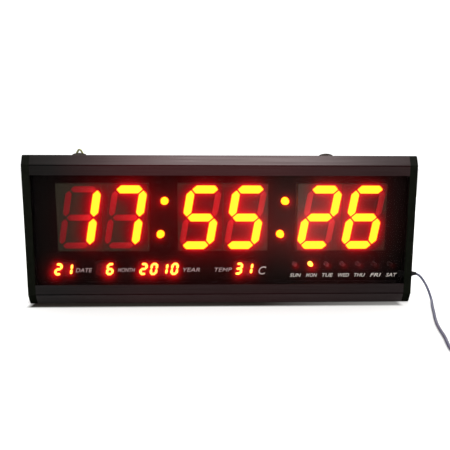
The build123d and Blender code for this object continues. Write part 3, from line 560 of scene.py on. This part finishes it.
for name, size, places, face, extent in MODULES:
    light = big_light if size is BIG else small_light
    for x, z, character in places:
        for bar in SHAPES[character]:
            shine(light, [(x + dx, z + dz) for dx, dz in bar_outlines(size)[bar]], 1.0)
circle = [(math.cos(math.radians(a)), math.sin(math.radians(a))) for a in range(0, 360, 20)]
for x, z in COLON_DOTS:
    shine(big_light, [(x + COLON_RADIUS * dx, z + COLON_RADIUS * dz) for dx, dz in circle], 1.0)
dull_lamps = np.zeros(small_light.shape)
for index, x in enumerate(LAMPS):
    if index != LIT_LAMP:
        outline = [(x + DULL_RADIUS * dx, LAMP_Z + DULL_RADIUS * dz) for dx, dz in circle]
        shine(dull_lamps, outline, max(0.1, 1.0 - 0.17 * index))
outline = [(LAMPS[LIT_LAMP] + LAMP_RADIUS * dx, LAMP_Z + LAMP_RADIUS * dz) for dx, dz in circle]
shine(small_light, outline, 1.0)

near = spread(big_light, 4.0)
wide = spread(big_light, 9.0)
far = spread(big_light, 20.0)
small_near = spread(small_light, 1.6)
small_wide = spread(small_light, 4.0)
fringe = 0.04 * spread(big_light, 0.45) + 0.05 * spread(small_light, 0.4)
# amounts at places along X: scatter in the window, leak in the modules and extra glow of the unlit bars
PANE_SCATTER = ((-220, 0.66), (-140, 0.50), (-100, 0.36), (-40, 0.14))
PANE_SCATTER += ((0, 0.18), (20, 0.34), (60, 0.12), (140, 0.0))
FACE_LEAK = ((-190, 0.15), (-140, 0.42), (-60, 0.32), (-20, 0.42))
FACE_LEAK += ((20, 0.56), (100, 0.84), (140, 0.78), (185, 0.42))
BAR_GLOW = ((-200, 0.0), (-140, 0.06), (-60, 0.0), (20, 0.03), (100, 0.09), (150, 0.0), (185, -0.09))


def from_table(x, table):
    """Amounts at x, from a table of places along X and their amounts."""
    places, amounts = zip(*table)
    return np.interp(x, places, amounts)


haze = 0.12 * spread(big_light, 2.2) + 0.9 * near
haze += np.clip((225.0 - grid_x) / 60.0, 0.2, 1.0) * (from_table(grid_x, PANE_SCATTER) * wide + 0.45 * far)
haze += 2.6 * small_wide + 0.6 * spread(small_light, 9.0) + 0.20 * spread(dull_lamps, 2.0)
leak = from_table(grid_x, FACE_LEAK) * wide + 0.5 * small_near
# a faint grey reflection right of the middle
VEIL_X, VEIL_Z, VEIL_WIDTH, VEIL_HEIGHT = 100.0, 105.0, 66.0, 54.0
veil = np.exp(-(((grid_x - VEIL_X) / VEIL_WIDTH) ** 2) - ((grid_z - VEIL_Z) / VEIL_HEIGHT) ** 2)
VEIL = np.array((0.9, 1.0, 0.85))


def mesh_piece(name, vertices, faces, material, slot, **values):
    """A mesh from points in millimetres, riding on the case, with its per-point values."""
    mesh = bpy.data.meshes.new(name)
    mesh.from_pydata([tuple(c * MM for c in vertex) for vertex in vertices], [], faces)
    for key, value in values.items():
        value = np.asarray(value, np.float32)
        if value.ndim == 2:
            layer = mesh.attributes.new(key, "FLOAT_COLOR", "POINT")
            layer.data.foreach_set("color", np.column_stack([value, np.ones(len(value))]).ravel())
        else:
            layer = mesh.attributes.new(key, "FLOAT", "POINT")
            layer.data.foreach_set("value", value)
    mesh.materials.append(material)
    mesh.polygons.foreach_set("use_smooth", [False] * len(mesh.polygons))
    piece = bpy.data.objects.new(name, mesh)
    scene.collection.objects.link(piece)
    piece.visible_diffuse = False
    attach(piece, "case")
    return piece


def colored(*layers):
    """Per-point colours from pairs of a colour and its amount at each point."""
    return sum(np.outer(np.maximum(amount, 0.0), color) for color, amount in layers)


def slab_grid(low, high, step, front, back):
    """A closed slab in X and Z whose front or back face is a fine grid. Returns points and faces."""
    columns = max(1, round((high[0] - low[0]) / step))
    rows = max(1, round((high[1] - low[1]) / step))
    xs = np.linspace(low[0], high[0], columns + 1)
    zs = np.linspace(low[1], high[1], rows + 1)
    points = [(x, front, z) for z in zs for x in xs]
    stride = columns + 1
    faces = [
        (r * stride + c, r * stride + c + 1, (r + 1) * stride + c + 1, (r + 1) * stride + c)
        for r in range(rows)
        for c in range(columns)
    ]
    rim = list(range(stride)) + [r * stride + columns for r in range(1, rows + 1)]
    rim += [rows * stride + c for c in range(columns - 1, -1, -1)]
    rim += [r * stride for r in range(rows - 1, 0, -1)]
    base = len(points)
    points += [(points[i][0], back, points[i][2]) for i in rim]
    count = len(rim)
    faces += [(rim[(i + 1) % count], rim[i], base + i, base + (i + 1) % count) for i in range(count)]
    faces.append(tuple(base + i for i in range(count - 1, -1, -1)))
    return points, faces


small_housing = Paint("small_housing", (0.010, 0.009, 0.007), 0.6, specular=0.15)
small_housing.tone(3.0, 0.85, 1.15)
small_housing.bump(0.4, 0.015)
for name, size, places, face, extent in MODULES:
    if size is SMALL:
        nodes[f"{name}_housing"].data.materials[0] = small_housing.material

# face films, which carry the light that leaks round each lit bar
film = Paint("module_film", HOUSING, 0.5, specular=0.3)
plain = film.tone(5.0, 0.85, 1.15)
# painted light: the face turns deep red where the lit bars' light falls on it
reddened = film.mix(film.attribute("tint"), plain, DEEP_RED)
film.link(reddened, film.shader.inputs["Base Color"])
film.bump(0.4, 0.012)
film.glow_from("glow")

clear = Paint("segment_clear", UNLIT, 0.45)
clear.tone(2.0, 0.85, 1.15)
clear.rough(1.5, 0.06)
clear.glow_from("glow")

clear_small = Paint("segment_clear_small", (0.030, 0.002, 0.002), 0.5)
clear_small.tone(1.0, 0.85, 1.15)
clear_small.rough(0.8, 0.06)
clear_small.glow_from("glow")

bright = Paint("segment_bright", (0.30, 0.02, 0.02), 0.4)
bright.tone(1.0, 0.9, 1.1)
bright.glow(LIT, bright.math("MULTIPLY", bright.attribute("core"), LIT_STRENGTH))

bright_small = Paint("segment_bright_small", (0.30, 0.02, 0.02), 0.4)
bright_small.tone(1.0, 0.9, 1.1)
bright_small.glow(LIT_SMALL, bright_small.math("MULTIPLY", bright_small.attribute("core"), LIT_STRENGTH))


def bar_mesh(outline, size, face):
    """One bar, standing slightly proud of the module's face, with a rounded front edge."""
    edge = rounded(outline, size["round"])
    count = len(edge)
    rings = [
        (edge, face + size["deep"] - 0.05, 0.7),
        (edge, face - 0.10, 0.7),
        (shrunk(edge, 0.04 * size["bar"]), face - 0.10 - 0.02 * size["bar"], 0.85),
        (shrunk(edge, 0.16 * size["bar"]), face - 0.10 - 0.025 * size["bar"], 1.0),
    ]
    points, cores = [], []
    for ring, y, core in rings:
        points += [(p.x, y, p.y) for p in ring]
        cores += [core] * count
    faces = [
        (r * count + (i + 1) % count, r * count + i, (r + 1) * count + i, (r + 1) * count + (i + 1) % count)
        for r in range(len(rings) - 1)
        for i in range(count)
    ]
    faces.append(tuple(range(count)))
    faces.append(tuple(range(len(points) - 1, len(points) - count - 1, -1)))
    return points, faces, cores


def joined(parts):
    """Several meshes' points, faces and point values as one."""
    points, faces, values = [], [], []
    for part_points, part_faces, part_values in parts:
        start = len(points)
        points += part_points
        faces += [tuple(start + i for i in face) for face in part_faces]
        values += part_values
    return points, faces, values


def fix_normals(piece):
    mesh = bmesh.new()
    mesh.from_mesh(piece.data)
    bmesh.ops.recalc_face_normals(mesh, faces=mesh.faces)
    mesh.to_mesh(piece.data)
    mesh.free()


for name, size, places, face, extent in MODULES:
    groups = {True: [], False: []}
    for x, z, character in places:
        for index in range(7):
            is_lit = index in SHAPES[character]
            outline = bar_outlines(size, size["bright" if is_lit else "dark"])[index]
            placed = [(x + dx, z + dz) for dx, dz in outline]
            groups[is_lit].append(bar_mesh(placed, size, face))
    for is_lit, parts in groups.items():
        if not parts:
            continue
        points, faces, cores = joined(parts)
        if is_lit:
            shown = bright if size is BIG else bright_small
            piece = mesh_piece(f"{name}_lit", points, faces, shown.material, "segment_lit", core=cores)
        else:
            x, y, z = np.array(points).T
            inner = size["low_glow"] + 1.4 * read(wide, x, z) + 0.35 * read(far, x, z)
            inner += 1.0 * read(small_near, x, z) + from_table(x, BAR_GLOW)
            glow = colored((RED, inner / SEEN), (VEIL, 0.03 * read(veil, x, z) / SEEN))
            shown = clear if size is BIG else clear_small
            piece = mesh_piece(f"{name}_unlit", points, faces, shown.material, "segment_unlit", glow=glow)
        fix_normals(piece)
        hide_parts(f"{name}_segments")
    # the film over the module's face
    middle_x = sum(x for x, z, character in places) / len(places)
    half_x, half_z = extent[0] / 2 - FILM_MARGIN, extent[1] / 2 - FILM_MARGIN
    low = (middle_x - half_x, places[0][1] - half_z)
    high = (middle_x + half_x, places[0][1] + half_z)
    points, faces = slab_grid(low, high, size["grid"], face - 0.05, face + 0.01)
    x, y, z = np.array(points).T
    # painted light: the big modules' faces are reddened where the lit bars' light spreads, the small
    # modules' faces all over
    tint = np.clip(8.0 * read(wide, x, z), 0, 1) if size is BIG else np.ones(len(x))
    glow = colored(
        (LIT, LIT_STRENGTH * read(fringe, x, z)),
        (RED, read(leak, x, z) / SEEN),
        (VEIL, 0.022 * read(veil, x, z) / SEEN),
    )
    piece = mesh_piece(f"{name}_film", points, faces, film.material, "module_housing", glow=glow, tint=tint)
    fix_normals(piece)

# ---------------------------------------------------------------- window
WINDOW_FRONT, WINDOW_BACK = FRONT + 2.0, FRONT + 4.0
low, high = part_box("front_window")
points, faces = slab_grid(
    (low.x / MM, low.z / MM), (high.x / MM, high.z / MM), 1.0, WINDOW_BACK, WINDOW_FRONT
)
x, y, z = np.array(points).T
inside = y > WINDOW_FRONT + 0.5
scatter = colored(
    (RED, inside * read(haze, x, z) / PANE), (VEIL, inside * 0.012 * read(veil, x, z) / PANE)
)
window.glow_from("glow")
pane = mesh_piece("window_pane", points, faces, window.material, "tinted_window", glow=scatter)
fix_normals(pane)
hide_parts("front_window")

# ---------------------------------------------------------------- printed legends
LEGENDS = [
    ("DATE", -166.5, 42.0, 19.9, 5.0),
    ("MONTH", -115.5, 42.0, 21.0, 5.0),
    ("YEAR", -36.7, 42.0, 20.6, 5.0),
    ("TEMP", 2.1, 42.0, 21.4, 5.0),
    ("C", 49.9, 40.9, 9.4, 10.2),
]
LEGENDS += [
    (day, 90.6 + 19.85 * i, 34.8, 13.6, 4.4)
    for i, day in enumerate(("SUN", "MON", "TUE", "WED", "THU", "FRI", "SAT"))
]
INK = 0.04


def legend_piece(text, x, z, width, height):
    """Raised print on the window's front, with the text's outline scaled to width and height."""
    data = bpy.data.curves.new(f"legend_{text}", "FONT")
    data.body = text
    data.shear = 0.25
    data.offset = 0.007
    data.align_x, data.align_y = "CENTER", "CENTER"
    data.resolution_u = 3
    written = bpy.data.objects.new(data.name, data)
    scene.collection.objects.link(written)
    bpy.context.view_layer.update()
    mesh = bpy.data.meshes.new_from_object(written)
    bpy.data.objects.remove(written)
    spots = np.array([vertex.co[:2] for vertex in mesh.vertices])
    middle = (spots.max(0) + spots.min(0)) / 2
    scale = np.array((width, height)) / (spots.max(0) - spots.min(0))
    for vertex, (u, v) in zip(mesh.vertices, (spots - middle) * scale):
        vertex.co = ((x + u) * MM, WINDOW_FRONT * MM, (z + v) * MM)
    solid = bmesh.new()
    solid.from_mesh(mesh)
    bmesh.ops.remove_doubles(solid, verts=solid.verts, dist=1e-7)
    grown = bmesh.ops.extrude_face_region(solid, geom=solid.faces[:])
    for item in grown["geom"]:
        if isinstance(item, bmesh.types.BMVert):
            item.co.y -= INK * MM
    bmesh.ops.recalc_face_normals(solid, faces=solid.faces)
    solid.to_mesh(mesh)
    solid.free()
    mesh.materials.clear()
    mesh.materials.append(legend.material)
    piece = bpy.data.objects.new(f"legend_{text}", mesh)
    scene.collection.objects.link(piece)
    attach(piece, "case")


for entry in LEGENDS:
    legend_piece(*entry)

# ---------------------------------------------------------------- weekday lamps
week = Paint("weekday_lamp", (0.22, 0.050, 0.055), 0.4, specular=0.2)
# painted shade: the lamps turn darker towards the right
shaded_right = week.span(week.axis(0), 0.0, 1.0, 0.14, 0.20)
week.link(week.mix(shaded_right, week.tone(1.0, 0.9, 1.1), (0.030, 0.010, 0.009)), week.shader.inputs["Base Color"])
near_lit = week.math("ABSOLUTE", week.math("SUBTRACT", week.axis(0), LAMPS[LIT_LAMP] * MM))
week.glow(LIT_SMALL, week.span(near_lit, LIT_STRENGTH, 0.0, 0.004, 0.006))
nodes["weekday_lamps"].data.materials[0] = week.material
for name in ("hour_minute_colon", "minute_second_colon", "weekday_lamps"):
    nodes[name].visible_diffuse = False

# ---------------------------------------------------------------- floor and lights
PALE = (0.90, 0.90, 0.89)


def add_floor():
    data = bpy.data.meshes.new("floor")
    reach = 6.0
    corners = [(-reach, -reach, 0), (reach, -reach, 0), (reach, reach, 0), (-reach, reach, 0)]
    data.from_pydata(corners, [], [(0, 1, 2, 3)])
    paint = Paint("floor", PALE, 0.9, specular=0.1)
    plain = paint.tone(400.0, 0.99, 1.01)
    # contact shadow along the foot of the case's front, a little weaker towards the right
    shade = paint.span(paint.axis(1), 0.0, 1.0, -0.032, -0.026)
    shade = paint.math("MULTIPLY", shade, paint.span(paint.axis(1), 1.0, 0.0, 0.0, 0.012))
    shade = paint.math("MULTIPLY", shade, paint.span(paint.axis(0), 0.0, 1.0, -0.235, -0.228))
    shade = paint.math("MULTIPLY", shade, paint.span(paint.axis(0), 1.0, 0.72, 0.05, 0.215))
    shade = paint.math("MULTIPLY", shade, paint.span(paint.axis(0), 1.0, 0.0, 0.217, 0.223))
    paint.link(paint.mix(shade, plain, (0.026, 0.022, 0.018)), paint.shader.inputs["Base Color"])
    data.materials.append(paint.material)
    floor = bpy.data.objects.new("floor", data)
    floor.location.z = -0.0005
    scene.collection.objects.link(floor)
    floor.visible_glossy = False


add_floor()


def soft_light(name, place, aim, size, power, color=(1, 1, 1)):
    data = bpy.data.lights.new(name, "AREA")
    data.shape = "RECTANGLE"
    data.size, data.size_y = size
    data.energy = power
    data.color = color
    lamp = bpy.data.objects.new(name, data)
    lamp.location = place
    lamp.rotation_euler = (Vector(aim) - Vector(place)).to_track_quat("-Z", "Y").to_euler()
    scene.collection.objects.link(lamp)


soft_light("key", (0.12, -0.95, 1.15), (0.05, 0, 0.1), (0.8, 0.6), 10.0, (1.0, 0.97, 0.97))
soft_light("fill", (-0.9, -0.9, 0.6), (0, 0, 0.1), (0.8, 0.8), 0.8)
soft_light("back", (0.3, 1.4, 1.0), (0, 0, 0.08), (1.2, 0.9), 16.0)

world = bpy.data.worlds.new("world")
world.use_nodes = True
background = world.node_tree.nodes["Background"]
background.inputs["Color"].default_value = (1, 1, 1, 1)
background.inputs["Strength"].default_value = 1.2
scene.world = world
world.cycles_visibility.glossy = False
